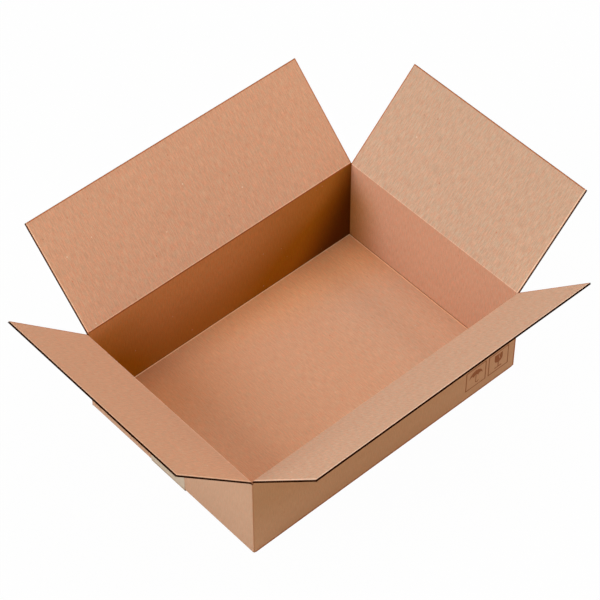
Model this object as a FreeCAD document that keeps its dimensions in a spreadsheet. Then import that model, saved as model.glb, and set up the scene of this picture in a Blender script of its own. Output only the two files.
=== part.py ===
"""Open corrugated carton, its four top flaps leaning outwards and its bottom closed with tape.

Millimetres. +X runs along the long walls, +Y across them, +Z up. The origin is the middle of the
underside, so the carton stands on the XY plane.

The board is scored from inside: a flap turns about the line where its outer face meets the outer
face of its wall, and both sides of the score are mitred at 45 degrees so that the flap can lie
flat over the opening. The long flaps are hinged one board higher than the short ones, so that
closed long flaps lie on closed short flaps.
"""
import FreeCAD, Part
import os
import Sketcher

Vector = FreeCAD.Vector

doc = FreeCAD.newDocument("open_carton")

# Driving dimensions, each with its meaning
SIZES = [
    ("inside_length", 330.0, "between the short walls"),
    ("inside_width", 230.0, "between the long walls"),
    ("inside_depth", 98.0, "from the floor to the closed short flaps"),
    ("board_caliper", 1.5, "thickness of the corrugated board"),
    ("liner_caliper", 0.25, "thickness of each flat facing"),
    ("medium_caliper", 0.2, "thickness of the fluted sheet between the facings"),
    ("flute_pitch", 3.4, "from one flute to the next"),
    ("glue_line", 0.8, "width of the fluted sheet's contact with a facing"),
    ("flute_crest", 0.45, "width of a hollow at its narrow side"),
    ("flute_margin", 1.2, "closed board left beside the last flute"),
    ("crushed_root", 3.0, "band beside the score where the flutes are pressed shut"),
    ("fold_clearance", 0.15, "open line left at the score on each side of the fold"),
    ("fold_radius", 1.1, "outer radius of the carton's folded edges"),
    ("lay_clearance", 0.2, "air between closed long flaps and closed short flaps"),
    ("flap_gap", 3.0, "left between two long flaps when they are closed"),
    ("slot_relief", 0.4, "taken off each side of a short top flap in the corner slots"),
    ("slot_inset", 1.6, "taken off each end of a bottom flap in the corner slots"),
    ("flap_lean", 45.0, "angle of the open flaps from upright, in degrees"),
    ("tab_width", 32.0, "glued tab inside the corner, along the short wall"),
    ("tab_drop", 6.0, "from the tab's top to the short flap's fold"),
    ("tab_slant", 9.0, "how far the tab's end edge slopes at the top and bottom"),
    ("joint_setback", 1.2, "from the long wall's face back to the short wall's cut edge"),
    ("cut_channel", 0.8, "depth of the open flute along that cut edge"),
    ("tape_width", 48.0, "width of the tape over the bottom seam"),
    ("tape_caliper", 0.15, "thickness of the tape"),
    ("tape_lap", 62.0, "how far the tape reaches up each short wall"),
    ("tape_offset", 3.5, "how far the tape lies off the seam, towards +Y"),
    ("tape_bend", 0.9, "inner radius of the tape where it turns up"),
    ("tooth_pitch", 1.6, "from one tooth of the tape's torn ends to the next"),
    ("tooth_depth", 0.9, "height of those teeth"),
]

sheet = doc.addObject("Spreadsheet::Sheet", "sizes")
for row, (alias, value, meaning) in enumerate(SIZES, start=1):
    sheet.set(f"A{row}", alias)
    sheet.set(f"B{row}", str(value))
    sheet.set(f"C{row}", meaning)
    sheet.setAlias(f"B{row}", alias)
doc.recompute()

# Derived levels and faces, as expressions on the sheet
END_INNER = "sizes.inside_length / 2"
END_OUTER = "sizes.inside_length / 2 + sizes.board_caliper"
SIDE_INNER = "sizes.inside_width / 2"
SIDE_OUTER = "sizes.inside_width / 2 + sizes.board_caliper"
UNDERSIDE = "sizes.tape_caliper"
LAYER_TOP = f"{UNDERSIDE} + sizes.board_caliper"
FLOOR = f"{UNDERSIDE} + 2 * sizes.board_caliper"
SHORT_FOLD = f"{FLOOR} + sizes.inside_depth + sizes.board_caliper"
LONG_FOLD = f"{SHORT_FOLD} + sizes.board_caliper + sizes.lay_clearance"
SHORT_RIM = f"{SHORT_FOLD} - sizes.fold_clearance"
LONG_RIM = f"{LONG_FOLD} - sizes.fold_clearance"
FLAP_DEPTH = f"{SIDE_OUTER} - sizes.flap_gap / 2"
SHORT_FLAP_HALF = f"{SIDE_INNER} - sizes.slot_relief"
BOTTOM_FLAP_HALF = f"{END_INNER} - sizes.slot_inset"


def minus(expression):
    """The negative of an expression."""
    return f"-({expression})"


def origin_plane(body, role):
    """One of the body's own origin planes."""
    return next(item for item in body.Origin.OriginFeatures if item.Role == role)


def new_body(label):
    """An empty body with its own label."""
    body = doc.addObject("PartDesign::Body", label)
    body.Label = label
    return body


def new_sketch(body, name, role, offset="0"):
    """A sketch on an origin plane of the body, moved along the plane's normal by an expression."""
    sketch = body.newObject("Sketcher::SketchObject", name)
    sketch.AttachmentSupport = [(origin_plane(body, role), "")]
    sketch.MapMode = "FlatFace"
    sketch.setExpression("AttachmentOffset.Base.z", offset)
    return sketch


def outline(sketch, corners):
    """A closed outline of straight edges. Both coordinates of every corner follow the sheet."""
    places = [Vector(*(float(sketch.evalExpression(part)) for part in corner), 0) for corner in corners]
    count = len(corners)
    first = sketch.GeometryCount
    for index in range(count):
        sketch.addGeometry(Part.LineSegment(places[index], places[(index + 1) % count]), False)
    for index in range(count):
        joined = Sketcher.Constraint("Coincident", first + index, 2, first + (index + 1) % count, 1)
        sketch.addConstraint(joined)
    for index, corner in enumerate(corners):
        for kind, part, place in zip(("DistanceX", "DistanceY"), corner, places[index]):
            number = sketch.addConstraint(Sketcher.Constraint(kind, first + index, 1, place))
            sketch.setExpression(f"Constraints[{number}]", part)


def rectangle(sketch, low_x, high_x, low_y, high_y):
    """A closed rectangle between four expressions."""
    outline(sketch, [(low_x, low_y), (high_x, low_y), (high_x, high_y), (low_x, high_y)])


def pad(body, name, sketch, length, backwards=False, midplane=False):
    """Material added from a sketch along its normal."""
    feature = body.newObject("PartDesign::Pad", name)
    feature.Profile = sketch
    feature.setExpression("Length", length)
    feature.Reversed = backwards
    feature.Midplane = midplane
    return feature


def pocket(body, name, sketch, length, upwards=False, midplane=False):
    """Material removed from a sketch against its normal, or along it when upwards."""
    feature = body.newObject("PartDesign::Pocket", name)
    feature.Profile = sketch
    feature.setExpression("Length", length)
    feature.Reversed = upwards
    feature.Midplane = midplane
    return feature


def straight_edges(shape, test):
    """Names of the straight edges whose middle point and direction pass the test."""
    names = []
    for number, edge in enumerate(shape.Edges, start=1):
        if isinstance(edge.Curve, Part.Line):
            middle = (edge.Vertexes[0].Point + edge.Vertexes[-1].Point) / 2
            if test(middle, edge.tangentAt(edge.FirstParameter)):
                names.append(f"Edge{number}")
    return names


def fillet(body, name, base, test, radius):
    """Rounded edges of the body, picked by a test on their middle point and direction."""
    doc.recompute()
    feature = body.newObject("PartDesign::Fillet", name)
    feature.Base = (base, straight_edges(base.Shape, test))
    feature.setExpression("Radius", radius)
    return feature


def near(value, goal):
    """Whether a coordinate is at a face."""
    return abs(value - goal) < 1e-4


def value_of(expression):
    """The present value of an expression on the sheet."""
    return float(sheet.evalExpression(expression.replace("sizes.", "")))


# Carton: the four walls, the glued corner tab and the folded bottom flaps, one sheet of board
carton = new_body("carton")

walls = new_sketch(carton, "walls", "XY_Plane", LAYER_TOP)
rectangle(walls, minus(END_OUTER), END_OUTER, minus(SIDE_OUTER), SIDE_OUTER)
pad(carton, "wall_block", walls, f"{SHORT_RIM} - ({LAYER_TOP})")

long_tops = new_sketch(carton, "long_tops", "XY_Plane", SHORT_RIM)
rectangle(long_tops, minus(END_INNER), END_INNER, SIDE_INNER, SIDE_OUTER)
rectangle(long_tops, minus(END_INNER), END_INNER, minus(SIDE_OUTER), minus(SIDE_INNER))
pad(carton, "long_wall_tops", long_tops, f"{LONG_RIM} - ({SHORT_RIM})")

bottom_flaps = new_sketch(carton, "bottom_flaps", "XY_Plane", UNDERSIDE)
for side in ("1", "-1"):
    rectangle(bottom_flaps, minus(BOTTOM_FLAP_HALF), BOTTOM_FLAP_HALF,
              f"{side} * sizes.flap_gap / 2", f"{side} * ({SIDE_OUTER})")
pad(carton, "outer_bottom_flaps", bottom_flaps, "sizes.board_caliper")

inside = new_sketch(carton, "inside", "XY_Plane", FLOOR)
rectangle(inside, minus(END_INNER), END_INNER, minus(SIDE_INNER), SIDE_INNER)
pocket(carton, "inside_space", inside, f"{LONG_RIM} - ({FLOOR}) + 1", upwards=True)

# The score's inner side is cut back at 45 degrees along all four rims
long_mitre = new_sketch(carton, "long_mitre", "YZ_Plane")
for side in ("1", "-1"):
    face = f"{side} * ({SIDE_OUTER})"
    clear = f"{side} * ({SIDE_INNER} - 1)"
    outline(long_mitre, [(face, LONG_RIM),
                         (clear, LONG_RIM),
                         (clear, f"{LONG_RIM} - sizes.board_caliper - 1")])
pocket(carton, "long_rim_mitres", long_mitre, "sizes.inside_length", midplane=True)

short_mitre = new_sketch(carton, "short_mitre", "XZ_Plane")
for side in ("1", "-1"):
    face = f"{side} * ({END_OUTER})"
    clear = f"{side} * ({END_INNER} - 1)"
    outline(short_mitre, [(face, SHORT_RIM),
                          (clear, SHORT_RIM),
                          (clear, f"{SHORT_RIM} - sizes.board_caliper - 1")])
pocket(carton, "short_rim_mitres", short_mitre, "sizes.inside_width", midplane=True)

# The tab that closes the tube of walls: it folds off the +Y wall and is glued inside the -X wall
TAB_END = f"{SIDE_INNER} - sizes.tab_width"
TAB_TOP = f"{SHORT_FOLD} - sizes.board_caliper - sizes.tab_drop"
tab = new_sketch(carton, "corner_tab", "YZ_Plane", minus(END_INNER))
outline(tab, [(SIDE_INNER, FLOOR),
              (f"{TAB_END} + sizes.tab_slant / 3", FLOOR),
              (TAB_END, f"{FLOOR} + sizes.tab_slant"),
              (TAB_END, f"{TAB_TOP} - sizes.tab_slant"),
              (f"{TAB_END} + sizes.tab_slant / 3", TAB_TOP),
              (SIDE_INNER, TAB_TOP)])
pad(carton, "glued_tab", tab, "sizes.board_caliper")

# At that corner the -X wall ends in a cut edge, set back from the fold, with an open flute in it
CUT_EDGE = f"{SIDE_OUTER} - sizes.joint_setback"
joint = new_sketch(carton, "joint", "XY_Plane", LAYER_TOP)
rectangle(joint, f"-({END_OUTER}) - 1", minus(END_INNER), CUT_EDGE, f"{SIDE_OUTER} + 1")
pocket(carton, "joint_setback", joint, f"{SHORT_RIM} - ({LAYER_TOP}) + 1", upwards=True)
channel = new_sketch(carton, "channel", "XY_Plane", LAYER_TOP)
rectangle(channel, f"-({END_OUTER}) + sizes.liner_caliper", f"-({END_INNER}) - sizes.liner_caliper",
          f"{CUT_EDGE} - sizes.cut_channel", f"{CUT_EDGE} + 1")
cut_joint = pocket(carton, "open_flute", channel, f"{SHORT_RIM} - ({LAYER_TOP}) + 1", upwards=True)

# Folded edges: three upright corners, the tab's fold and the long edges of the bottom
end_inner = value_of(END_INNER)
end_outer = value_of(END_OUTER)
side_outer = value_of(SIDE_OUTER)
underside = value_of(UNDERSIDE)
corners = fillet(carton, "corner_folds", cut_joint,
                 lambda middle, along: (near(abs(middle.x), end_outer)
                                        and near(abs(middle.y), side_outer)
                                        and near(abs(along.z), 1)),
                 "min(sizes.fold_radius; 0.9 * sizes.board_caliper)")
tab_fold = fillet(carton, "tab_fold", corners,
                  lambda middle, along: (near(middle.x, -end_inner)
                                         and near(middle.y, side_outer)
                                         and near(abs(along.z), 1)),
                  "min(sizes.fold_radius; 0.9 * sizes.joint_setback)")
bottom_folds = fillet(carton, "bottom_folds", tab_fold,
                      lambda middle, along: (near(abs(middle.y), side_outer)
                                             and near(middle.z, underside)
                                             and near(abs(along.x), 1)),
                      "min(sizes.fold_radius; 0.9 * sizes.board_caliper)")
carton.Tip = bottom_folds


def flute_pattern(body, half_length):
    """Hollows of the fluted sheet, cut from the flap's free edge and repeated along it."""
    count = f"floor((2 * ({half_length}) - 2 * sizes.flute_margin) / sizes.flute_pitch)"
    first = f"-({count} - 1) / 2 * sizes.flute_pitch"
    wide = "(sizes.flute_pitch - sizes.glue_line) / 2"
    crest = "sizes.flute_crest / 2"
    low = "sizes.liner_caliper"
    high = "sizes.board_caliper - sizes.liner_caliper"
    hollows = new_sketch(body, "flute", "XZ_Plane", minus(FLAP_DEPTH))
    under = f"{first} - sizes.flute_pitch / 4"
    over = f"{first} + sizes.flute_pitch / 4"
    outline(hollows, [(f"{under} - {wide}", low),
                      (f"{under} + {wide}", low),
                      (f"{under} + {crest}", f"{high} - sizes.medium_caliper"),
                      (f"{under} - {crest}", f"{high} - sizes.medium_caliper")])
    outline(hollows, [(f"{over} - {crest}", f"{low} + sizes.medium_caliper"),
                      (f"{over} + {crest}", f"{low} + sizes.medium_caliper"),
                      (f"{over} + {wide}", high),
                      (f"{over} - {wide}", high)])
    reach = f"{FLAP_DEPTH} - sizes.fold_clearance - sizes.board_caliper - sizes.crushed_root"
    one = pocket(body, "one_flute", hollows, reach, upwards=True)
    row = body.newObject("PartDesign::LinearPattern", "flutes")
    row.Originals = [one]
    row.Direction = (hollows, ["H_Axis"])
    row.setExpression("Length", f"({count} - 1) * sizes.flute_pitch")
    row.setExpression("Occurrences", count)
    body.Tip = row


def flap(label, half_length, hinge, yaw):
    """A top flap. Its own X lies on the fold, Y runs to the free edge and Z is its inner side.

    It is placed with X on the hinge line, raised upright, leaned outwards and turned by yaw.
    """
    body = new_body(label)
    side = new_sketch(body, "thickness", "YZ_Plane")
    root = "sizes.fold_clearance"
    outline(side, [(root, "0"),
                   (FLAP_DEPTH, "0"),
                   (FLAP_DEPTH, "sizes.board_caliper"),
                   (f"{root} + sizes.board_caliper", "sizes.board_caliper")])
    pad(body, "sheet", side, f"2 * ({half_length})", midplane=True)
    flute_pattern(body, half_length)
    across, height = hinge
    shift = {0: (0, 1), 180: (0, -1), 90: (-1, 0), -90: (1, 0)}[yaw]
    place = f"vector({shift[0]} * ({across}); {shift[1]} * ({across}); {height})"
    body.setExpression("Placement", f"placement({place}; rotation({yaw}; 0; 90 - sizes.flap_lean))")
    return body


# Top flaps: two long ones on the long walls and two short ones on the short walls
flaps = [
    flap("long_flap_back", END_INNER, (SIDE_OUTER, LONG_FOLD), 0),
    flap("long_flap_front", END_INNER, (SIDE_OUTER, LONG_FOLD), 180),
    flap("short_flap_left", SHORT_FLAP_HALF, (END_OUTER, SHORT_FOLD), 90),
    flap("short_flap_right", SHORT_FLAP_HALF, (END_OUTER, SHORT_FOLD), -90),
]

# Tape: one strip along the bottom seam, turned up on both short walls
tape = new_body("seam_tape")
TAPE_TOP = "sizes.tape_lap"
TAPE_OUTER = f"{END_OUTER} + sizes.tape_caliper"
strip = new_sketch(tape, "strip", "XZ_Plane", "-sizes.tape_offset")
outline(strip, [(minus(TAPE_OUTER), "0"),
                (TAPE_OUTER, "0"),
                (TAPE_OUTER, TAPE_TOP),
                (END_OUTER, TAPE_TOP),
                (END_OUTER, "sizes.tape_caliper"),
                (minus(END_OUTER), "sizes.tape_caliper"),
                (minus(END_OUTER), TAPE_TOP),
                (minus(TAPE_OUTER), TAPE_TOP)])
tape_pad = pad(tape, "tape_strip", strip, "sizes.tape_width", midplane=True)
tape_inner = fillet(tape, "inner_bends", tape_pad,
                    lambda middle, along: (near(abs(middle.x), end_outer)
                                           and near(middle.z, underside)
                                           and near(abs(along.y), 1)),
                    "sizes.tape_bend")
tape_outer = fillet(tape, "outer_bends", tape_inner,
                    lambda middle, along: (near(abs(middle.x), end_outer + underside)
                                           and near(middle.z, 0)
                                           and near(abs(along.y), 1)),
                    "sizes.tape_bend + sizes.tape_caliper")

# Both ends of the tape are torn on a toothed blade: one notch across both laps, then the row
TEETH = "round(sizes.tape_width / sizes.tooth_pitch)"
TOOTH = f"sizes.tape_width / {TEETH}"
TAPE_SIDE = "sizes.tape_offset - sizes.tape_width / 2"
notch = new_sketch(tape, "notch", "YZ_Plane")
outline(notch, [(TAPE_SIDE, TAPE_TOP),
                (f"{TAPE_SIDE} + {TOOTH} / 2", f"{TAPE_TOP} - sizes.tooth_depth"),
                (f"{TAPE_SIDE} + {TOOTH}", TAPE_TOP),
                (f"{TAPE_SIDE} + {TOOTH}", f"{TAPE_TOP} + 1"),
                (TAPE_SIDE, f"{TAPE_TOP} + 1")])
one_notch = pocket(tape, "one_notch", notch, f"2 * ({TAPE_OUTER}) + 2", midplane=True)
teeth = tape.newObject("PartDesign::LinearPattern", "teeth")
teeth.Originals = [one_notch]
teeth.Direction = (notch, ["H_Axis"])
teeth.setExpression("Length", f"({TEETH} - 1) * {TOOTH}")
teeth.setExpression("Occurrences", TEETH)
tape.Tip = teeth

# Rebuild, check every object and write one file for each sub-part
doc.recompute()
for item in doc.Objects:
    if "Invalid" in item.State or "Error" in item.State:
        raise RuntimeError(f"{item.Name} is not built: {item.State}")

os.makedirs("parts", exist_ok=True)
for body in [carton, *flaps, tape]:
    if body.Shape.isNull() or not body.Shape.isValid():
        raise RuntimeError(f"{body.Label} has no valid solid")
    if len(body.Shape.Solids) != 1:
        raise RuntimeError(f"{body.Label} is not one solid")
    body.Shape.exportStep(f"parts/{body.Label}.step")
    box = body.Shape.BoundBox
    print(body.Label, f"volume {body.Shape.Volume:.1f}",
          f"x {box.XMin:.2f} {box.XMax:.2f} y {box.YMin:.2f} {box.YMax:.2f} z {box.ZMin:.2f} {box.ZMax:.2f}")
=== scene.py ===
"""The looks of the open carton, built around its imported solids. Metres, +X along the long walls."""
import math

import bpy
import numpy as np
from mathutils import Matrix, Vector


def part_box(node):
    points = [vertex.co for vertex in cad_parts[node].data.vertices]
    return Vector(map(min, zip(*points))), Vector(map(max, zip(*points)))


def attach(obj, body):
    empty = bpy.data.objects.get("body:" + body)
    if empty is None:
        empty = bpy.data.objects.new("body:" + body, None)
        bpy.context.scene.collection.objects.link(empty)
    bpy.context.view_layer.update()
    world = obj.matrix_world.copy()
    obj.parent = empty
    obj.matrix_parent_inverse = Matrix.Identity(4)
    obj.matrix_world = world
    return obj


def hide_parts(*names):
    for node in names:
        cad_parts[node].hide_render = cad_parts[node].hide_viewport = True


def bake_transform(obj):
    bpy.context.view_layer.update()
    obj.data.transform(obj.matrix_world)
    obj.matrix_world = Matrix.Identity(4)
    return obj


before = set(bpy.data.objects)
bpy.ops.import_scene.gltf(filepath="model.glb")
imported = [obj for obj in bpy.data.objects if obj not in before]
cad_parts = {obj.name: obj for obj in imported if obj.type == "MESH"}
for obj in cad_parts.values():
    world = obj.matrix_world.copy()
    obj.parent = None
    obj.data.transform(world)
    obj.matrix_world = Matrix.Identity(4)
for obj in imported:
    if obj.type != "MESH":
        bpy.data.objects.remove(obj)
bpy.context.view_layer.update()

# Kraft liner
# The board is faced on both sides with unbleached kraft paper. Its colour comes from the pulp:
# soft clouds, short fibres along the flutes, and a few pale and dark specks of bark and shive.

MM = 0.001
BOARD = 1.5 * MM
LINER = 0.25 * MM
FLUTE_PITCH = 3.4 * MM


class Value:
    """A number that changes over a surface. Arithmetic on it adds Math nodes."""

    def __init__(self, finish, socket):
        self.finish = finish
        self.socket = socket

    def maths(self, operation, *others):
        inputs = dict(enumerate((self, *others)))
        node = self.finish.node("ShaderNodeMath", {"operation": operation}, inputs)
        return Value(self.finish, node.outputs[0])

    def __add__(self, other):
        return self.maths("ADD", other)

    __radd__ = __add__

    def __mul__(self, other):
        return self.maths("MULTIPLY", other)

    __rmul__ = __mul__

    def __sub__(self, other):
        return self.maths("SUBTRACT", other)

    def __rsub__(self, other):
        return (self * -1.0).maths("ADD", other)

    def least(self, other):
        return self.maths("MINIMUM", other)

    def most(self, other):
        return self.maths("MAXIMUM", other)

    def size(self):
        return self.maths("ABSOLUTE")

    def ramp(self, low, high):
        """0 below low, 1 above high and a smooth step between them. It falls where low is above high."""
        node = self.finish.node("ShaderNodeMapRange", {"interpolation_type": "SMOOTHSTEP", "clamp": True},
                                {0: self, 1: min(low, high), 2: max(low, high),
                                 3: float(low > high), 4: float(low < high)})
        return Value(self.finish, node.outputs[0])


class Finish:
    """The nodes of one material or world. A node takes its settings first, then its inputs."""

    def __init__(self, owner):
        self.owner = owner
        owner.use_nodes = True
        self.tree = owner.node_tree
        self.tree.nodes.clear()

    def node(self, kind, settings=None, inputs=None):
        node = self.tree.nodes.new(kind)
        for key, setting in (settings or {}).items():
            setattr(node, key, setting)
        for key, given in (inputs or {}).items():
            socket = given.socket if isinstance(given, Value) else given
            if isinstance(socket, bpy.types.NodeSocket):
                self.tree.links.new(socket, node.inputs[key])
            else:
                node.inputs[key].default_value = socket
        return node

    def paper(self):
        """The paper coordinate: metres across the flutes, metres along them."""
        return self.node("ShaderNodeUVMap", {"uv_map": "paper"}).outputs[0]

    def place(self):
        """The point on the object, in metres."""
        return self.node("ShaderNodeTexCoord").outputs["Object"]

    def stretched(self, vector, scale, shift=(0.0, 0.0, 0.0)):
        """The coordinate divided into cells: scale is cells for each metre on each axis."""
        node = self.node("ShaderNodeMapping", {}, {"Vector": vector, "Scale": scale, "Location": shift})
        return node.outputs[0]

    def noise(self, vector, detail=3.0, roughness=0.55, distortion=0.0):
        """Noise between 0 and 1, one feature to a unit of the coordinate."""
        node = self.node("ShaderNodeTexNoise", {"noise_dimensions": "3D"},
                         {"Vector": vector, "Scale": 1.0, "Detail": detail,
                          "Roughness": roughness, "Distortion": distortion})
        return Value(self, node.outputs[0])

    def specks(self, vector, radius, share):
        """A mask of small round spots: a share of the coordinate's cells hold one of that radius."""
        cells = self.node("ShaderNodeTexVoronoi", {"voronoi_dimensions": "3D", "feature": "F1"},
                          {"Vector": vector, "Scale": 1.0, "Randomness": 1.0})
        chance = self.node("ShaderNodeSeparateColor", {}, {0: cells.outputs["Color"]})
        spot = Value(self, cells.outputs["Distance"]).ramp(radius, radius * 0.55)
        return spot * Value(self, chance.outputs[0]).ramp(1.0 - share, 1.0 - share + 0.01)

    def axes(self, vector):
        """The three parts of a coordinate."""
        node = self.node("ShaderNodeSeparateXYZ", {}, {0: vector})
        return [Value(self, output) for output in node.outputs]

    def mixed(self, share, first, second, way="MIX"):
        """Two colours mixed by a share."""
        node = self.node("ShaderNodeMix", {"data_type": "RGBA", "blend_type": way, "clamp_factor": True},
                         {0: share, 6: first, 7: second})
        return node.outputs[2]

    def surface(self, shade, roughness, height, depth, gloss):
        """The finished shader: a matt body whose height, in metres, gives its bumps."""
        bump = self.node("ShaderNodeBump", {}, {"Height": height, "Distance": depth, "Strength": 1.0})
        body = self.node("ShaderNodeBsdfPrincipled", {},
                         {"Base Color": shade, "Roughness": roughness, "Normal": bump.outputs[0],
                          "Specular IOR Level": gloss})
        self.node("ShaderNodeOutputMaterial", {}, {0: body.outputs[0]})


def colour(red, green, blue):
    """A paint colour from its usual 0 to 255 values, as the linear colour that a shader takes."""
    parts = []
    for part in (red, green, blue):
        share = part / 255
        parts.append(share / 12.92 if share <= 0.04045 else ((share + 0.055) / 1.055) ** 2.4)
    return (*parts, 1.0)


def scaled(base, gain):
    """A colour made lighter or darker by a factor."""
    return tuple(part * gain for part in base[:3]) + (1.0,)


LIGHT_GRAIN = (1.13, 1.15, 1.17, 1.0)
DARK_GRAIN = (0.87, 0.85, 0.83, 1.0)
PINK_PULP = (1.055, 0.955, 0.93, 1.0)
TAN_PULP = (0.95, 1.05, 1.075, 1.0)

# Cells to a metre across the flutes, along them and in depth
CLOUDS = (26.0, 34.0, 30.0)
MOTTLES = (260.0, 170.0, 200.0)
GRAIN = (1050.0, 600.0, 700.0)
PULP = (1150.0, 140.0, 500.0)
FIBRES = (1280.0, 115.0, 500.0)

# White clay, rust and bark: cells, the spots' radius in a cell, their share, strength and colour
SPECKS = [
    ((130.0, 130.0, 130.0), 0.11, 0.06, 0.65, colour(226, 214, 190)),
    ((150.0, 90.0, 120.0), 0.11, 0.14, 0.60, colour(186, 98, 62)),
    ((120.0, 95.0, 120.0), 0.07, 0.07, 0.50, colour(112, 66, 38)),
]
PAPER_GLOSS = 0.25
PAPER_RELIEF = 0.05 * MM


def kraft(name, base, painted_shade_and_borders, ink=None, seed=0.0, grain=1.0, gloss=PAPER_GLOSS):
    """A kraft liner of one base colour.

    The masks and colours from the third argument are mixed in before the grain: painted shade,
    painted highlights and the liner's borders. ink gives those of the print. grain scales the whole
    mottle: the outer liner is calendered smoother.
    """
    finish = Finish(bpy.data.materials.new(name))
    paper = finish.paper()
    shift = (seed * 3.7, seed * 1.9, seed)
    clouds = finish.noise(finish.stretched(paper, CLOUDS, shift), detail=2.0)
    mottles = finish.noise(finish.stretched(paper, MOTTLES, shift), detail=2.0, distortion=0.4)
    grains = finish.noise(finish.stretched(paper, GRAIN, shift), detail=2.0, roughness=0.7)
    fibres = finish.noise(finish.stretched(paper, FIBRES, shift), detail=2.0)
    pulp = finish.noise(finish.stretched(paper, PULP, (seed, seed * 5.3, seed)), detail=1.0)
    across = finish.axes(paper)[0]
    ridge = (across * (2 * math.pi / FLUTE_PITCH)).maths("SINE")
    tone = (clouds - 0.5) * 0.25 + (mottles - 0.5) * 0.35 + (grains - 0.5) * 1.5 + (fibres - 0.5) * 2.2
    tone = tone * grain + ridge * 0.02 + 0.5
    shade = base
    # Painted shade, painted highlights and the borders go in under the grain
    for mask, tint in painted_shade_and_borders(finish):
        shade = finish.mixed(mask, shade, tint)
    shade = finish.mixed(1.0, shade, finish.mixed(tone, DARK_GRAIN, LIGHT_GRAIN), "MULTIPLY")
    hue = (pulp - 0.5) * (5.6 * grain * grain) + 0.5
    shade = finish.mixed(1.0, shade, finish.mixed(hue, TAN_PULP, PINK_PULP), "MULTIPLY")
    for cells, radius, share, strength, tint in SPECKS:
        spots = finish.specks(finish.stretched(paper, cells, shift), radius, share)
        shade = finish.mixed(spots * (strength * grain), shade, tint)
    if ink:
        for mask, tint in ink(finish):
            shade = finish.mixed(mask * (0.95 - (fibres - 0.45).ramp(0.0, 0.4) * 0.35), shade, tint)
    height = grains * 0.5 + fibres * 0.3 + mottles * 0.2 + ridge * 0.06
    roughness = 0.80 + (mottles - 0.5) * 0.12
    finish.surface(shade, roughness, height, PAPER_RELIEF, gloss)
    return finish.owner


# Board
# Corrugated board cut with a knife: two liners and a fluted sheet between them. Where it is cut
# the edge is a darker brown, darkened further with painted shade of the open flutes, and the fluted
# sheet is a very dark brown, partly painted shade of the hollows between the flutes.

EDGE_SHADE_BROWN = colour(66, 30, 6)
FLUTE_SHADE_BROWN = colour(40, 20, 6)
FUZZ = (2600.0, 2600.0, 2600.0)
EDGE_RELIEF = 0.08 * MM


def cut_edge(name, base, seed=0.0):
    """The knife-cut edge of the board, and the fluted sheet inside it: rough, fibrous and dark, the dark
    partly painted shade.
    """
    finish = Finish(bpy.data.materials.new(name))
    place = finish.place()
    fuzz = finish.noise(finish.stretched(place, FUZZ, (seed, seed, seed)), detail=2.0)
    shade = finish.mixed(fuzz, scaled(base, 0.65), scaled(base, 1.35))
    finish.surface(shade, 0.95, fuzz, EDGE_RELIEF, 0.0)
    return finish.owner


class Sheets:
    """Closed slabs of board gathered into one mesh, with a paper coordinate for every corner."""

    def __init__(self):
        self.points = []
        self.maps = []
        self.faces = []
        self.slots = []
        self.count = 0

    def slab(self, upper, lower, paper, slots):
        """A closed slab between two grids of points, upper and lower, of rows by columns.

        paper is the grid of paper coordinates that both share. slots gives the material numbers of
        the upper face, the lower face and the four edges. The faces turn outwards where the sum of
        their cones' volumes about the middle comes out negative.
        """
        rows, columns = upper.shape[:2]
        top = np.arange(rows * columns).reshape(rows, columns)
        low = top + rows * columns

        def quads(first, second, third, fourth):
            return np.stack([first, second, third, fourth], -1).reshape(-1, 4)

        pieces = [
            (quads(top[:-1, :-1], top[1:, :-1], top[1:, 1:], top[:-1, 1:]), slots[0]),
            (quads(low[:-1, :-1], low[:-1, 1:], low[1:, 1:], low[1:, :-1]), slots[1]),
            (quads(top[:-1, 0], low[:-1, 0], low[1:, 0], top[1:, 0]), slots[2]),
            (quads(top[:-1, -1], top[1:, -1], low[1:, -1], low[:-1, -1]), slots[3]),
            (quads(top[0, :-1], top[0, 1:], low[0, 1:], low[0, :-1]), slots[4]),
            (quads(top[-1, :-1], low[-1, :-1], low[-1, 1:], top[-1, 1:]), slots[5]),
        ]
        points = np.concatenate([upper.reshape(-1, 3), lower.reshape(-1, 3)])
        faces = np.concatenate([piece for piece, _ in pieces])
        corner = points[faces]
        first, second, third = (corner[:, number] - corner[:, 0] for number in (1, 2, 3))
        spread = np.cross(first, second) + np.cross(second, third)
        volume = ((corner[:, 0] - points.mean(0)) * spread).sum()
        if volume < 0:
            faces = faces[:, ::-1]
        self.points.append(points)
        self.maps.append(np.concatenate([paper.reshape(-1, 2)] * 2))
        self.faces.append(faces + self.count)
        self.slots.append(np.concatenate([np.full(len(piece), slot) for piece, slot in pieces]))
        self.count += len(points)

    def build(self, name, materials, smooth=30.0):
        """The gathered slabs as one object at the origin."""
        points = np.concatenate(self.points)
        faces = np.concatenate(self.faces)
        maps = np.concatenate(self.maps)
        mesh = bpy.data.meshes.new(name)
        mesh.from_pydata(points.tolist(), [], faces.tolist())
        mesh.polygons.foreach_set("material_index", np.concatenate(self.slots).astype(np.int32))
        mesh.polygons.foreach_set("use_smooth", np.ones(len(faces), bool))
        layer = mesh.uv_layers.new(name="paper")
        layer.data.foreach_set("uv", maps[faces.reshape(-1)].astype(np.float32).reshape(-1))
        for material in materials:
            mesh.materials.append(material)
        mesh.set_sharp_from_angle(angle=math.radians(smooth))
        mesh.update()
        piece = bpy.data.objects.new(name, mesh)
        bpy.context.scene.collection.objects.link(piece)
        return piece


# Carton
# The walls are one strip of board folded at its four upright corners and closed with a glued tab
# inside. The bottom flaps fold in below: the two long ones meet under the box at a narrow seam.

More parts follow.
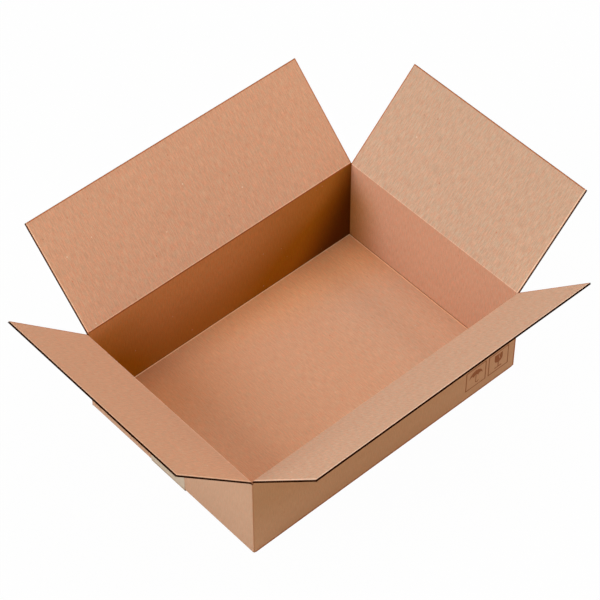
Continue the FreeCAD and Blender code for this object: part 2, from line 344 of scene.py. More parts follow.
FOLD_RADIUS = 1.1 * MM
INNER_RADIUS = 0.35 * MM
FLAP_GAP = 3.0 * MM
FOLD_CLEARANCE = 0.15 * MM
LAY_CLEARANCE = 0.2 * MM
TAB_WIDTH = 32.0 * MM
TAB_DROP = 6.0 * MM
TAB_SLANT = 9.0 * MM
JOINT_SETBACK = 1.2 * MM
CUT_CHANNEL = 0.8 * MM
GLUE = 0.02 * MM
SLOT_INSET = 1.6 * MM

low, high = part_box("carton")
OUTER_END = high.x
OUTER_SIDE = high.y
HALF_LENGTH = OUTER_END - BOARD
HALF_WIDTH = OUTER_SIDE - BOARD
UNDERSIDE = low.z
LAYER_TOP = UNDERSIDE + BOARD
FLOOR = LAYER_TOP + BOARD
LONG_RIM = high.z
SHORT_RIM = LONG_RIM - BOARD - LAY_CLEARANCE
LONG_FOLD = LONG_RIM + FOLD_CLEARANCE
SHORT_FOLD = SHORT_RIM + FOLD_CLEARANCE

OUTER_KRAFT = colour(202, 160, 130)
INNER_KRAFT = colour(213, 164, 135)
FLOOR_KRAFT = colour(208, 156, 122)
LONG_WALL_TOP_SHADE = colour(188, 145, 110)
LONG_SIDE_SHADED_KRAFT = colour(215, 154, 99)
LONG_SIDE_SHADE = colour(172, 112, 20)
LONG_SIDE_DEEP_SHADE = colour(97, 54, 4)
SHORT_SIDE_SHADE = colour(179, 123, 50)
FLOOR_LINE_SHADE = colour(112, 60, 4)
FLOOR_SHADE = colour(187, 125, 81)
FLOOR_LIT = colour(214, 167, 135)
FLOOR_WARM_LIGHT = colour(222, 158, 108)
FLOOR_EDGE_HIGHLIGHT = colour(248, 200, 156)
FOLD_BROWN = colour(158, 84, 24)
INK_BROWN = colour(142, 80, 44)


def outer_shade_and_lines(finish):
    """The long walls are darker towards the top, a painted shade, and a brown line is painted along the
    bottom fold and the long walls' upright corners.
    """
    across, along, up = finish.axes(finish.place())
    long_wall = along.size().ramp(OUTER_SIDE - 0.6 * MM, OUTER_SIDE - 0.2 * MM)
    beside = (across.size() - OUTER_END).most(along.size() - OUTER_SIDE).ramp(-2.2 * MM, -1.4 * MM)
    bottom = up.ramp(UNDERSIDE + 2.9 * MM, UNDERSIDE + 2.3 * MM) * beside
    left = across.ramp(-OUTER_END + 1.7 * MM, -OUTER_END + 1.1 * MM) * 0.4
    right = across.ramp(OUTER_END - 2.8 * MM, OUTER_END - 2.0 * MM) * 0.85
    # Painted shade: the long walls darken towards the top
    return [(long_wall * up.ramp(5 * MM, 75 * MM), LONG_WALL_TOP_SHADE),
            (bottom.most(left.most(right) * long_wall) * 0.95, FOLD_BROWN)]


def inner_painted_shade(finish):
    """The long walls' inner liner is painted a deeper brown that darkens towards the floor and the corners,
    all painted shade; the short walls get painted shade low down towards the back, and a line of painted
    shade runs along the floor.
    """
    across, along, up = finish.axes(finish.place())
    long_sides = along.size().ramp(HALF_WIDTH - 1.0 * MM, HALF_WIDTH - 0.3 * MM)
    low = up.ramp(95 * MM, 5 * MM)
    right = across.ramp(-20 * MM, HALF_LENGTH + 5 * MM)
    left = across.ramp(-65 * MM, -HALF_LENGTH) * up.ramp(110 * MM, 75 * MM)
    brown = (low * 0.74 + right * 0.85 + left * 0.65).least(1.0)
    far_corner = (across - up * 0.55).ramp(74 * MM, 140 * MM) * along.ramp(0.0, HALF_WIDTH)
    short_side = along.ramp(60 * MM, HALF_WIDTH + 3 * MM) * up.ramp(105 * MM, 45 * MM) * (1.0 - long_sides)
    seam = up.ramp(FLOOR + 0.9 * MM, FLOOR + 0.3 * MM)
    # Painted shade: the long walls' deeper brown, their dark ends and foot, the dark far corner, the short
    # walls' back and the line along the floor
    return [(long_sides, LONG_SIDE_SHADED_KRAFT), (long_sides * brown, LONG_SIDE_SHADE),
            (long_sides * far_corner, LONG_SIDE_DEEP_SHADE), (short_side * 0.80, SHORT_SIDE_SHADE),
            (seam * 0.45, FLOOR_LINE_SHADE)]


def floor_painted_light(finish):
    """The floor is painted darker at its left back corner, painted shade, and lighter towards its right
    end and warmer along the back wall, painted light.

    A pale line along the walls is a painted highlight.
    """
    across, along, up = finish.axes(finish.place())
    # Painted shade at the left back corner, painted light at the right end and along the back wall, and a
    # painted highlight along the walls
    tan = across.ramp(30 * MM, -140 * MM) * (along.ramp(-10 * MM, 90 * MM) * 0.55 + 0.45)
    paler = across.ramp(45 * MM, HALF_LENGTH - 50 * MM) * (1.0 - along.ramp(60 * MM, HALF_WIDTH) * 0.5)
    gold = (along + across * 0.2).ramp(55 * MM, HALF_WIDTH + 15 * MM) * across.ramp(-120 * MM, 0.0)
    ends = across.size().ramp(HALF_LENGTH - 1.9 * MM, HALF_LENGTH - 1.4 * MM)
    sides = along.size().ramp(HALF_WIDTH - 1.9 * MM, HALF_WIDTH - 1.4 * MM)
    return [(tan, FLOOR_SHADE), (paler, FLOOR_LIT), (gold, FLOOR_WARM_LIGHT),
            (ends.most(sides) * 0.85, FLOOR_EDGE_HIGHLIGHT)]


def frame_line(x, y, half, width):
    """A square outline: the shape's distance is the larger of the two coordinates."""
    reach = x.size().most(y.size())
    return (reach - (half - width / 2)).size().ramp(width / 2 + 0.1 * MM, width / 2 - 0.1 * MM)


MARK_SIZE = 27.0 * MM
MARK_LINE = 1.3 * MM
MARK_CENTRES = (113.5 * MM, 143.5 * MM)
MARK_HEIGHT = 26.0 * MM
SHARP = 0.12 * MM


def handling_marks(finish):
    """Two plain handling signs on the front wall: an umbrella and a stemmed glass, each framed."""
    across, along, up = finish.axes(finish.place())
    front = along.ramp(-HALF_WIDTH - BOARD * 0.5, -HALF_WIDTH - BOARD * 0.8)
    y = up - MARK_HEIGHT

    def disc(x, y, centre_x, centre_y, radius):
        """Inside a circle, as a mask."""
        gap_x = x - centre_x
        gap_y = y - centre_y
        distance = (gap_x * gap_x + gap_y * gap_y).maths("SQRT")
        return distance.ramp(radius + SHARP, radius - SHARP)

    def bar(x, y, left, right, bottom, top):
        """Inside an upright rectangle, as a mask."""
        inside_x = x.ramp(left - SHARP, left + SHARP) * x.ramp(right + SHARP, right - SHARP)
        inside_y = y.ramp(bottom - SHARP, bottom + SHARP) * y.ramp(top + SHARP, top - SHARP)
        return inside_x * inside_y

    x = across - MARK_CENTRES[0]
    dome = disc(x, y, 0.0, 0.5 * MM, 8.6 * MM) * y.ramp(0.5 * MM - SHARP, 0.5 * MM + SHARP)
    for centre in (-5.73, 0.0, 5.73):
        dome = dome * (1.0 - disc(x, y, centre * MM, 0.2 * MM, 2.55 * MM))
    shaft = bar(x, y, -0.5 * MM, 0.5 * MM, -7.0 * MM, 9.8 * MM)
    hook = disc(x, y, 1.7 * MM, -7.0 * MM, 2.3 * MM) * (1.0 - disc(x, y, 1.7 * MM, -7.0 * MM, 1.2 * MM))
    hook = hook * y.ramp(-7.0 * MM + SHARP, -7.0 * MM - SHARP)
    umbrella = dome.most(shaft).most(hook).most(frame_line(x, y, MARK_SIZE / 2, MARK_LINE))

    x = across - MARK_CENTRES[1]
    cup_half = 5.4 * MM
    cup = bar(x, y, -cup_half, cup_half, 3.2 * MM, 9.6 * MM).most(disc(x, y, 0.0, 3.2 * MM, cup_half))
    crack = (x - 0.6 * MM - (y - 6.0 * MM).size() * 0.35).size().ramp(0.45 * MM, 0.25 * MM)
    cup = cup * (1.0 - crack * y.ramp(2.0 * MM, 2.4 * MM))
    stem = bar(x, y, -0.65 * MM, 0.65 * MM, -8.2 * MM, 0.0 * MM)
    foot = bar(x, y, -4.6 * MM, 4.6 * MM, -9.4 * MM, -8.0 * MM)
    glass = cup.most(stem).most(foot).most(frame_line(x, y, MARK_SIZE / 2, MARK_LINE))
    return [(umbrella.most(glass) * front, INK_BROWN)]


wall_outside = kraft("kraft_outside", OUTER_KRAFT, outer_shade_and_lines, handling_marks, seed=1.0, grain=0.5)
wall_inside = kraft("kraft_inside", INNER_KRAFT, inner_painted_shade, seed=2.0, grain=0.7, gloss=0.08)
floor_paper = kraft("kraft_floor", FLOOR_KRAFT, floor_painted_light, seed=3.0, grain=0.7)
edge_paper = cut_edge("board_edge", EDGE_SHADE_BROWN)

carton = Sheets()
FOLD_STEPS = np.radians(np.linspace(0, 90, 7))[1:-1]
HAIR = 0.01 * MM
low_steps = np.array([0.0, 0.15, 0.4, 0.75, 1.1]) * MM
up_steps = np.concatenate([np.linspace(0.03, 0.97, 12), [0.985, 1.0]])


def bent_strip(start, legs):
    """Rows along a strip of board in plan, which starts towards -Y and turns left at every corner.

    legs gives, for each wall, its outer length and the distances of its rows. The outer face turns
    in a quarter circle of FOLD_RADIUS and the inner face in one of INNER_RADIUS. Each row is its
    outer point, its inner point, its direction inwards and its leg's number.
    """
    corner = np.array(start)
    heading = np.array([0.0, -1.0])
    outer, inner, inward, numbers = [], [], [], []
    for number, (length, places) in enumerate(legs):
        left = np.array([-heading[1], heading[0]])
        first = number > 0
        last = number < len(legs) - 1
        places = np.clip(places, first * FOLD_RADIUS, length - last * FOLD_RADIUS)[:, None]
        setback = BOARD + INNER_RADIUS
        inner_places = np.clip(places, first * setback, length - last * setback)
        outer.append(corner + heading * places)
        inner.append(corner + left * BOARD + heading * inner_places)
        inward.append(np.broadcast_to(left, outer[-1].shape))
        numbers.append(np.full(len(places), number))
        corner = corner + heading * length
        if last:
            spread = np.sin(FOLD_STEPS)[:, None] * heading - np.cos(FOLD_STEPS)[:, None] * left
            outer.append(corner + (left - heading) * FOLD_RADIUS + spread * FOLD_RADIUS)
            inner.append(corner + (left - heading) * setback + spread * INNER_RADIUS)
            inward.append(-spread)
            numbers.append(np.full(len(FOLD_STEPS), number))
        heading = left
    return tuple(np.concatenate(part) for part in (outer, inner, inward, numbers))


def stepped(length, count, breaks=()):
    """Even places along a wall, with a pair of places a hair apart at each break in its rim."""
    pairs = [place + side for place in breaks for side in (-HAIR, HAIR)]
    return np.sort(np.concatenate([np.linspace(0, length, count), pairs]))


CUT_EDGE = OUTER_SIDE - JOINT_SETBACK
channel_end = CUT_EDGE - CUT_CHANNEL
tab_length = OUTER_SIDE - (HALF_WIDTH - TAB_WIDTH)
tab_rows = np.linspace(BOARD + 2 * MM, tab_length - TAB_SLANT / 3, 5)
tab_places = np.concatenate([[BOARD - HAIR, BOARD + HAIR], tab_rows, [tab_length]])
LEGS = [
    (OUTER_SIDE + channel_end, stepped(OUTER_SIDE + channel_end, 26)),
    (2 * OUTER_END, stepped(2 * OUTER_END, 34, (BOARD, 2 * OUTER_END - BOARD))),
    (2 * OUTER_SIDE, stepped(2 * OUTER_SIDE, 26)),
    (HALF_LENGTH + OUTER_END, stepped(HALF_LENGTH + OUTER_END, 34, (BOARD,))),
    (tab_length, tab_places),
]
outer_plan, inner_plan, inward, leg = bent_strip((-OUTER_END, channel_end), LEGS)
on_tab = (leg == 4) & (outer_plan[:, 1] < HALF_WIDTH)
on_long = (np.isin(leg, (1, 3, 4)) & (np.abs(outer_plan[:, 0]) <= HALF_LENGTH + HAIR / 2)) & ~on_tab
on_short = np.isin(leg, (0, 2)).astype(float)
from_tab_end = outer_plan[:, 1] - (HALF_WIDTH - TAB_WIDTH)
slant = TAB_SLANT * np.clip(1 - from_tab_end / (TAB_SLANT / 3), 0, 1) * on_tab
tab_top = SHORT_FOLD - BOARD - TAB_DROP
sunk = np.clip(OUTER_SIDE - np.abs(outer_plan[:, 1]), 0, BOARD) * on_long
rim = np.where(on_tab, tab_top - slant, np.where(on_long, LONG_RIM - sunk, SHORT_RIM))
foot = np.where(on_tab, FLOOR + slant, LAYER_TOP)
mitre = np.where(on_tab, 0.0, BOARD - sunk)
outer_plan[:, 0] += on_tab * GLUE
pulled = FOLD_RADIUS - np.sqrt(FOLD_RADIUS ** 2 - np.clip(FOLD_RADIUS - low_steps, 0, None) ** 2)


def wall_grid(plan, top):
    """Rows along the strip, and columns up it from the row's foot to its own top."""
    near_foot = np.broadcast_to(low_steps, (len(plan), len(low_steps)))
    heights = foot[:, None] + np.hstack([near_foot, (top - foot)[:, None] * up_steps])
    flat = np.repeat(plan[:, None, :], heights.shape[1], axis=1)
    return np.concatenate([flat, heights[..., None]], -1)


outer_wall = wall_grid(outer_plan, rim)
inner_wall = wall_grid(inner_plan, rim - mitre)
outer_wall[:, :len(low_steps), :2] += (inward * on_short[:, None])[:, None, :] * pulled[None, :, None]
run = np.concatenate([[0.0], np.cumsum(np.linalg.norm(np.diff(outer_plan, axis=0), axis=1))])
wall_paper = np.stack([np.broadcast_to(run[:, None], outer_wall.shape[:2]), outer_wall[..., 2]], -1)
carton.slab(outer_wall, inner_wall, wall_paper, (0, 1, 0, 3, 3, 3))

# At the joint's cut edge only the two liners reach the end, with an open flute between them
for face in (-OUTER_END, -HALF_LENGTH - LINER):
    lip_y = np.array([channel_end, CUT_EDGE])[:, None]
    lip_z = np.array([LAYER_TOP, SHORT_RIM])[None, :]
    lip_y, lip_z = np.broadcast_arrays(lip_y, lip_z)
    lip = []
    for x in (face, face + LINER):
        mitred = np.minimum(lip_z, SHORT_RIM - (x + OUTER_END))
        lip.append(np.stack([np.full_like(lip_y, x), lip_y, mitred], -1))
    carton.slab(lip[0], lip[1], np.stack([lip_y, lip_z], -1), (0, 3, 3, 3, 3, 3))


def flat_slab(sheets, xs, ys, bottoms, tops, slots, shift=(0.0, 0.0)):
    """A slab over a grid of places in plan. bottoms and tops are heights that fit the grid."""
    grid_x, grid_y = np.meshgrid(xs, ys, indexing="ij")
    paper = np.stack([grid_x + shift[0], grid_y + shift[1]], -1)
    upper = np.stack([grid_x, grid_y, np.broadcast_to(tops, grid_x.shape)], -1)
    lower = np.stack([grid_x, grid_y, np.broadcast_to(bottoms, grid_x.shape)], -1)
    sheets.slab(upper, lower, paper, slots)


def border_places(half, steps):
    """Places across a panel, close together near its two borders."""
    near_border = np.array([0.0, 0.15, 0.4, 0.8, 1.4]) * MM
    inside = np.linspace(-half + 3 * MM, half - 3 * MM, steps)
    return np.concatenate([-half + near_border, inside, half - near_border[::-1]])


floor_x = border_places(HALF_LENGTH, 25)
floor_y = border_places(HALF_WIDTH, 19)
edge_gap = np.minimum.outer(HALF_LENGTH - np.abs(floor_x), HALF_WIDTH - np.abs(floor_y))
floor_dip = 0.55 * MM * np.clip(1 - edge_gap / (0.9 * MM), 0, 1) ** 2
flat_slab(carton, floor_x, floor_y, LAYER_TOP, FLOOR - floor_dip, (2, 0, 3, 3, 3, 3))

# The long bottom flaps: rounded where they leave the wall, cut square at the seam
arc = np.radians(np.linspace(0, 90, 7))
for side in (1, -1):
    reach = HALF_WIDTH + BOARD
    flat = np.linspace(FLAP_GAP / 2, reach - FOLD_RADIUS, 16)
    across = np.concatenate([flat, reach - FOLD_RADIUS + FOLD_RADIUS * np.sin(arc[1:])])
    lift = np.concatenate([np.zeros(len(flat)), FOLD_RADIUS * (1 - np.cos(arc[1:]))])
    places = np.linspace(-HALF_LENGTH + SLOT_INSET, HALF_LENGTH - SLOT_INSET, 25)
    flat_slab(carton, places, side * across, UNDERSIDE + lift[None, :], LAYER_TOP, (0, 0, 3, 0, 3, 3))

carton_piece = carton.build("carton_board", [wall_outside, wall_inside, floor_paper, edge_paper])
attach(carton_piece, "carton_body")
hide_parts("carton")

# Top flaps
# Each flap carries on from its wall past the score. The knife cuts it square across the flutes at
# the free edge, so that the wave of the fluted sheet shows between the two liners.

MEDIUM = 0.2 * MM
MEDIUM_INSET = 0.05 * MM
CRUSHED_ROOT = 3.0 * MM
ROOT_TAPER = 1.2 * MM
SLOT_RELIEF = 0.4 * MM
LONG_RELIEF = 0.05 * MM
LEAN = math.radians(45.0)
FLAP_DEPTH = HALF_WIDTH + BOARD - FLAP_GAP / 2
WAVE_STEPS = 12
OUTER_GRAIN = 0.5
SIDE_CUT_BROWN = colour(172, 100, 56)
CREASE_HIGHLIGHT = colour(238, 198, 168)
# The outer faces' borders: a painted highlight at the fold and along the cut, and painted shade at the
# cut's edge
OUTER_BORDER = dict(far=1, open_end=True, wall=OUTER_KRAFT, stretched=0.5 * MM, pale=CREASE_HIGHLIGHT,
                    pressed=1.0 * MM, dark=EDGE_SHADE_BROWN, cut=0.3 * MM)


def flap_border(half, far, open_end, wall, stretched, pale, pressed, dark, cut):
    """Masks of a flap's borders: a painted highlight and painted shade along the cut, and a painted
    highlight at the fold.

    far is the side, 1 or -1, where the cut edge has a thin brown border, and so does the free edge
    without open_end. The fold's own strip starts on the wall, whose colour it has there. stretched,
    pressed and cut are widths: of the fold's painted highlight, of the cut's painted highlight and of
    the cut's painted shade.
    """
    def masks(finish):
        across, along, _ = finish.axes(finish.paper())
        cut_inset = across * far + half
        side_cut_inset = half - across * far
        end_inset = FLAP_DEPTH - along
        if open_end:
            cut_inset = cut_inset.least(end_inset)
        else:
            side_cut_inset = side_cut_inset.least(end_inset)
        fold = along.size().ramp(stretched + 0.1 * MM, stretched - 0.3 * MM)
        root = along.ramp(-0.35 * MM, -0.75 * MM)
        # A painted highlight at the fold, the wall's colour at its root, a thin brown border, then a
        # painted highlight and painted shade along the cut
        return [(fold * 0.7, CREASE_HIGHLIGHT), (root, wall),
                (side_cut_inset.ramp(1.2 * MM, 0.8 * MM), SIDE_CUT_BROWN),
                (cut_inset.ramp(pressed + 0.6 * MM, pressed) * 0.85, pale),
                (cut_inset.ramp(cut + 0.3 * MM, cut) * 0.95, dark)]
    return masks


def flap_frame(hinge, turn):
    """The flap's own axes: along its fold, out to its free edge, and towards its inner side."""
    spin = Matrix.Rotation(turn, 3, "Z")
    along = spin @ Vector((1, 0, 0))
    out = spin @ Vector((0, math.sin(LEAN), math.cos(LEAN)))
    inner = spin @ Vector((0, -math.cos(LEAN), math.sin(LEAN)))
    return np.array(hinge), np.array(along), np.array(out), np.array(inner)


def in_flap(axes, along, out, thick):
    """Points of a flap from its own three coordinates."""
    origin, u, v, w = axes
    along, out, thick = np.broadcast_arrays(along, out, thick)
    return origin + along[..., None] * u + out[..., None] * v + thick[..., None] * w


def make_flap(node, hinge, turn, half, inner_colour, grain, border, seed):
    """One top flap: a pressed root, two liners and the wave of the fluted sheet between them.

    The sheet's height is half the board plus a sine of the place across, which just reaches both
    liners, once in every flute pitch.
    """
    axes = flap_frame(hinge, turn)
    inner_paper = kraft(node + "_inside", inner_colour, flap_border(half, **border), seed=seed, grain=grain)
    outer_paper = kraft(node + "_outside", OUTER_KRAFT, flap_border(half, **OUTER_BORDER), seed=seed + 0.5,
                        grain=OUTER_GRAIN)
    flute_paper = cut_edge(node + "_flutes", FLUTE_SHADE_BROWN, seed)
    board = Sheets()
    root_end = FOLD_CLEARANCE + BOARD + CRUSHED_ROOT
    across = np.linspace(-half, half, 25)[:, None]

    def paper(out):
        return np.stack(np.broadcast_arrays(across, out), -1)

    root_low = np.array([[FOLD_CLEARANCE, root_end - ROOT_TAPER, root_end]])
    root_high = np.array([[FOLD_CLEARANCE + BOARD, root_end - ROOT_TAPER, root_end]])
    board.slab(in_flap(axes, across, root_high, BOARD), in_flap(axes, across, root_low, 0.0),
               paper(root_high), (0, 1, 2, 2, 2, 2))
    length = np.linspace(root_end, FLAP_DEPTH, 13)[None, :]
    board.slab(in_flap(axes, across, length, BOARD), in_flap(axes, across, length, BOARD - LINER),
               paper(length), (0, 3, 2, 2, 2, 2))
    board.slab(in_flap(axes, across, length, LINER), in_flap(axes, across, length, 0.0),
               paper(length), (3, 1, 2, 2, 2, 2))
    count = int(2 * half / FLUTE_PITCH)
    wave_across = np.linspace(-half, half, count * WAVE_STEPS + 1)[:, None]
    swing = (BOARD - 2 * LINER - MEDIUM) / 2
    wave = BOARD / 2 + swing * np.sin(2 * math.pi * wave_across / FLUTE_PITCH)
    ends = np.array([[root_end, FLAP_DEPTH - MEDIUM_INSET]])
    board.slab(in_flap(axes, wave_across, ends, wave + MEDIUM / 2),
               in_flap(axes, wave_across, ends, wave - MEDIUM / 2),
               np.stack(np.broadcast_arrays(wave_across, ends), -1), (3, 3, 3, 3, 3, 3))
    piece = board.build(node + "_board", [inner_paper, outer_paper, edge_paper, flute_paper])
    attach(piece, node)
    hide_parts(node)
    return axes, inner_paper, outer_paper


# Folds
# The board is pressed along each score and bends there without a break. Open, the fold is a
# narrow rounded ridge.

RIDGE_RADIUS = 0.9 * MM
RIDGE_SHOULDER = 0.4 * MM


def make_fold(name, axes, half, inner_paper, outer_paper):
    """The bent strip of board between a wall and its flap.

    Its section fills the wedge between the two mitres, with an arc where the inner faces meet. The
    outer side runs straight between the two roots.
    """
    origin, u, v, _ = axes
    upright = np.array([0.0, 0.0, 1.0])
    outward = v - upright * v[2]
    outward = outward / np.linalg.norm(outward)
    corner = np.array([-BOARD, BOARD * math.tan(LEAN / 2)])
    wall_end = np.array([-BOARD, -FOLD_CLEARANCE - BOARD])
    wall_dir = np.array([0.0, -1.0])
    flap_dir = np.array([math.sin(LEAN), math.cos(LEAN)])
    inner_dir = np.array([-math.cos(LEAN), math.sin(LEAN)])
    flap_end = flap_dir * (FOLD_CLEARANCE + BOARD) + inner_dir * BOARD
    reach = RIDGE_RADIUS * math.tan(LEAN / 2)
    centre = corner + wall_dir * reach + np.array([1.0, 0.0]) * RIDGE_RADIUS
    angles = np.linspace(math.pi, math.pi - LEAN, 7)
    ridge = centre + RIDGE_RADIUS * np.stack([np.cos(angles), np.sin(angles)], -1)
    inner = np.vstack([wall_end, corner + wall_dir * (reach + RIDGE_SHOULDER), ridge,
                       corner + flap_dir * (reach + RIDGE_SHOULDER), flap_end])
    wall_root = np.array([0.0, -FOLD_CLEARANCE])
    flap_root = flap_dir * FOLD_CLEARANCE
    share = np.linspace(0, 1, len(inner))[:, None]
    outer = wall_root * (1 - share) + flap_root * share
    places = np.linspace(-half, half, 13)

    def strip(section):
        flat = section[None, :, 0, None] * outward + section[None, :, 1, None] * upright
        return origin + places[:, None, None] * u + flat

    travel = np.concatenate([[0.0], np.cumsum(np.linalg.norm(np.diff(inner, axis=0), axis=1))])
    travel = travel - travel[len(travel) // 2]
    paper = np.stack(np.broadcast_arrays(places[:, None], travel[None, :]), -1)
    fold = Sheets()
    fold.slab(strip(inner), strip(outer), paper, (0, 1, 0, 0, 2, 2))
    piece = fold.build(name, [inner_paper, outer_paper, edge_paper])
    rise = (math.pi - LEAN) / 2
    across = math.cos(rise) * outward + math.sin(rise) * upright
    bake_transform(piece)


# Painted shade: a dark line where the long flaps' folds leave the walls
LONG_ROOT_SHADE = colour(172, 104, 56)
LONG_HALF = HALF_LENGTH - LONG_RELIEF
SHORT_HALF = HALF_WIDTH - SLOT_RELIEF

# Node, hinge, turn about the upright, half length, inner colour, grain and inner border. The inner
# colours are set flap by flap, paler on the flaps that the lamps light most: painted light. The
# borders' pale and dark colours are a painted highlight and painted shade.
FLAPS = [
    ("long_flap_back", (0, OUTER_SIDE, LONG_FOLD), 0.0, LONG_HALF,
     colour(200, 151, 121), 1.0,
     dict(far=1, open_end=False, wall=LONG_ROOT_SHADE, stretched=0.7 * MM, pale=colour(238, 192, 158),
          pressed=1.6 * MM, dark=colour(84, 40, 10), cut=0.8 * MM)),
    ("long_flap_front", (0, -OUTER_SIDE, LONG_FOLD), math.pi, LONG_HALF,
     colour(199, 158, 130), 1.0,
     dict(far=-1, open_end=True, wall=LONG_ROOT_SHADE, stretched=0.7 * MM, pale=colour(248, 210, 180),
          pressed=2.5 * MM, dark=EDGE_SHADE_BROWN, cut=0.9 * MM)),
    ("short_flap_left", (-OUTER_END, 0, SHORT_FOLD), math.pi / 2, SHORT_HALF,
     colour(204, 153, 121), 0.75,
     dict(far=1, open_end=True, wall=INNER_KRAFT, stretched=1.2 * MM, pale=colour(236, 192, 158),
          pressed=2.1 * MM, dark=EDGE_SHADE_BROWN, cut=0.75 * MM)),
    ("short_flap_right", (OUTER_END, 0, SHORT_FOLD), -math.pi / 2, SHORT_HALF,
     colour(197, 160, 133), 1.1,
     dict(far=-1, open_end=False, wall=INNER_KRAFT, stretched=0.5 * MM, pale=colour(244, 204, 172),
          pressed=1.8 * MM, dark=colour(78, 36, 10), cut=0.9 * MM)),
]
for number, (node, hinge, turn, half, *looks) in enumerate(FLAPS):
    axes, inner_paper, outer_paper = make_flap(node, hinge, turn, half, *looks, 4.0 + number)
    make_fold(node + "_crease", axes, half, inner_paper, outer_paper)

# Tape
# One strip of thin buff packing film closes the bottom seam and turns up both short walls. Its
# ends are torn on the dispenser's toothed blade.

TAPE_BUFF = colour(196, 176, 150)
TAPE_SHADE = colour(160, 124, 88)
TAPE = UNDERSIDE
FILM_RELIEF = 0.05 * MM
FILM_GLOSS = 0.25
LAP_STEPS = 14
RUN_STEPS = 38
TAPE_BEND = 0.9 * MM
TOOTH = 1.6 * MM
TOOTH_DEPTH = 0.9 * MM


def tape_film():
    """Buff film with a satin face, faint lengthwise streaks and small trapped bubbles."""
    finish = Finish(bpy.data.materials.new("packing_film"))
    place = finish.place()
    streaks = finish.noise(finish.stretched(place, (12.0, 700.0, 12.0)), detail=2.0)
    clouds = finish.noise(finish.stretched(place, (60.0, 60.0, 60.0)), detail=2.0)
    bubbles = finish.specks(finish.stretched(place, (260.0, 260.0, 260.0)), 0.22, 0.10)
    tone = (streaks - 0.5) * 0.8 + (clouds - 0.5) * 0.6 + 0.5
    shade = finish.mixed(tone, scaled(TAPE_BUFF, 0.92), scaled(TAPE_BUFF, 1.07))
    bottom = finish.axes(place)[2].ramp(3.6 * MM, 2.4 * MM)
    shade = finish.mixed(bottom * 0.7, shade, TAPE_SHADE)
    height = bubbles * 0.6 + streaks * 0.2
    finish.surface(shade, 0.38 + (clouds - 0.5) * 0.15, height, FILM_RELIEF, FILM_GLOSS)
    return finish.owner


tape_low, tape_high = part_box("seam_tape")
lap = tape_high.z
outer_x = tape_high.x
bend = TAPE_BEND + TAPE
quarter = np.radians(np.linspace(0, 90, 7))


def tape_path(offset):
    """The strip's line from one lap's end to the other, at an offset inwards from its outer face."""
    radius = bend - offset
    flat = outer_x - bend
    up = np.linspace(lap, bend, LAP_STEPS)
    right = np.stack([np.full(LAP_STEPS, outer_x - offset), up], -1)
    turn_right = np.stack([flat + radius * np.cos(quarter[1:]), bend - radius * np.sin(quarter[1:])], -1)
    bottom = np.stack([np.linspace(flat, -flat, RUN_STEPS + 2)[1:-1], np.full(RUN_STEPS, offset)], -1)
    return np.vstack([right, turn_right, bottom, turn_right[::-1] * [-1, 1], right[::-1] * [-1, 1]])


teeth = int(round((tape_high.y - tape_low.y) / TOOTH))
across_tape = np.linspace(tape_low.y, tape_high.y, teeth * 2 + 1)
tooth = TOOTH_DEPTH * (np.arange(len(across_tape)) % 2)
grids = []
for offset in (0.0, TAPE):
    path = tape_path(offset)
    parts = np.broadcast_arrays(path[None, :, 0], across_tape[:, None], path[None, :, 1])
    grid = np.stack(parts, -1)
    grid[:, 0, 2] -= tooth
    grid[:, -1, 2] -= tooth
    grids.append(grid)
tape = Sheets()
tape_run = np.linspace(0, 1, grids[0].shape[1])
tape.slab(grids[0], grids[1], np.stack(np.broadcast_arrays(across_tape[:, None], tape_run[None, :]), -1),
          (0, 0, 0, 0, 0, 0))
tape_piece = tape.build("seam_tape_film", [tape_film()])
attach(tape_piece, "carton_body")
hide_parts("seam_tape")

# Studio
# A plain pale floor, a white surround for the camera, soft lamps, and the photograph's viewpoint.

SURROUND = 0.10
FLOOR_REACH = 6.0
FLOOR_DROP = 0.02 * MM
FLOOR_PALE = (0.60, 0.59, 0.58, 1.0)
FLOOR_WHITE = 0.98
LAMP_AIM = Vector((0.0, 0.0, 0.05))
LAMPS = [
    ("window_lamp", (-1.9, 0.4, 1.3), 1.4, 39.0, (1.0, 1.0, 1.0)),
    ("ceiling_lamp", (0.0, 0.0, 2.4), 1.6, 22.0, (1.0, 1.0, 1.0)),
    ("far_lamp", (1.7, 0.0, 1.7), 1.4, 26.0, (1.0, 1.0, 1.0)),
    ("warm_fill", (0.2, -2.3, 0.45), 1.4, 22.0, (1.0, 0.75, 0.45)),
]


def shown_rays(finish):
    """1 for the camera, glossy and transmission rays, which see the white surround."""
    path = finish.node("ShaderNodeLightPath")
    camera_ray, glossy_ray, passed_ray = (Value(finish, path.outputs["Is %s Ray" % kind])
                                          for kind in ("Camera", "Glossy", "Transmission"))
    return camera_ray.most(glossy_ray).most(passed_ray)


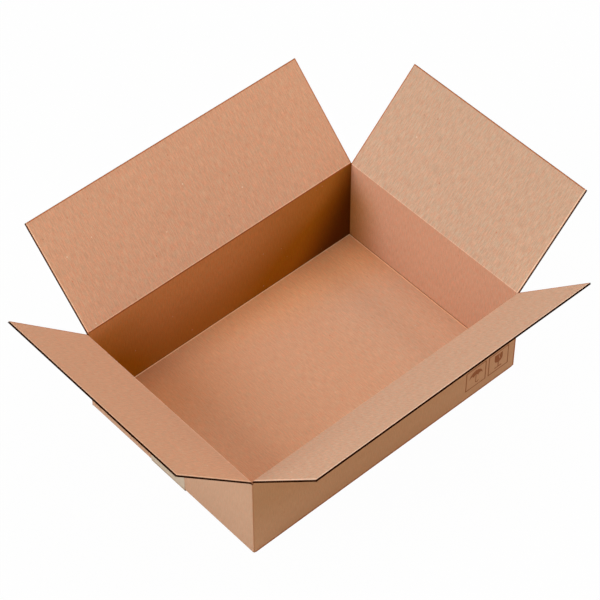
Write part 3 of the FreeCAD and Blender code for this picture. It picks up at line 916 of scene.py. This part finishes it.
surround = Finish(bpy.data.worlds.new("studio"))
back = surround.node("ShaderNodeBackground", {},
                     {"Strength": shown_rays(surround) * (1.0 - SURROUND) + SURROUND})
surround.node("ShaderNodeOutputWorld", {}, {0: back.outputs[0]})
bpy.context.scene.world = surround.owner

floor_mesh = bpy.data.meshes.new("studio_floor")
floor_corners = [(x * FLOOR_REACH, y * FLOOR_REACH, -FLOOR_DROP)
                 for x, y in ((-1, -1), (1, -1), (1, 1), (-1, 1))]
floor_mesh.from_pydata(floor_corners, [], [(0, 1, 2, 3)])
floor = bpy.data.objects.new("studio_floor", floor_mesh)
bpy.context.scene.collection.objects.link(floor)
finish = Finish(bpy.data.materials.new("studio_floor"))
matt = finish.node("ShaderNodeBsdfDiffuse", {}, {0: FLOOR_PALE})
white = finish.node("ShaderNodeEmission", {}, {0: (1.0, 1.0, 1.0, 1.0), 1: 1.0})
mix = finish.node("ShaderNodeMixShader", {},
                  {0: shown_rays(finish) * FLOOR_WHITE, 1: matt.outputs[0], 2: white.outputs[0]})
finish.node("ShaderNodeOutputMaterial", {}, {0: mix.outputs[0]})
floor_mesh.materials.append(finish.owner)

for name, place, width, power, tint in LAMPS:
    lamp = bpy.data.lights.new(name, "AREA")
    lamp.shape = "SQUARE"
    lamp.size = width
    lamp.energy = power
    lamp.color = tint
    holder = bpy.data.objects.new(name, lamp)
    holder.location = place
    holder.rotation_euler = (LAMP_AIM - Vector(place)).to_track_quat("-Z", "Y").to_euler()
    bpy.context.scene.collection.objects.link(holder)

CAMERA_PLACE = (-1.00242, -1.10805, 1.80734)
CAMERA_TURN = math.radians(-41.978)
CAMERA_RISE = math.radians(48.426)
CAMERA_LENS = 147.04
camera_data = bpy.data.cameras.new("camera")
camera_data.lens = CAMERA_LENS
camera_data.sensor_width = 36.0
camera_data.clip_end = 50.0
camera = bpy.data.objects.new("camera", camera_data)
camera.location = CAMERA_PLACE
camera.rotation_euler = (math.pi / 2 - CAMERA_RISE, 0.0, CAMERA_TURN)
bpy.context.scene.collection.objects.link(camera)
bpy.context.scene.camera = camera
bpy.context.scene.view_settings.view_transform = "Standard"
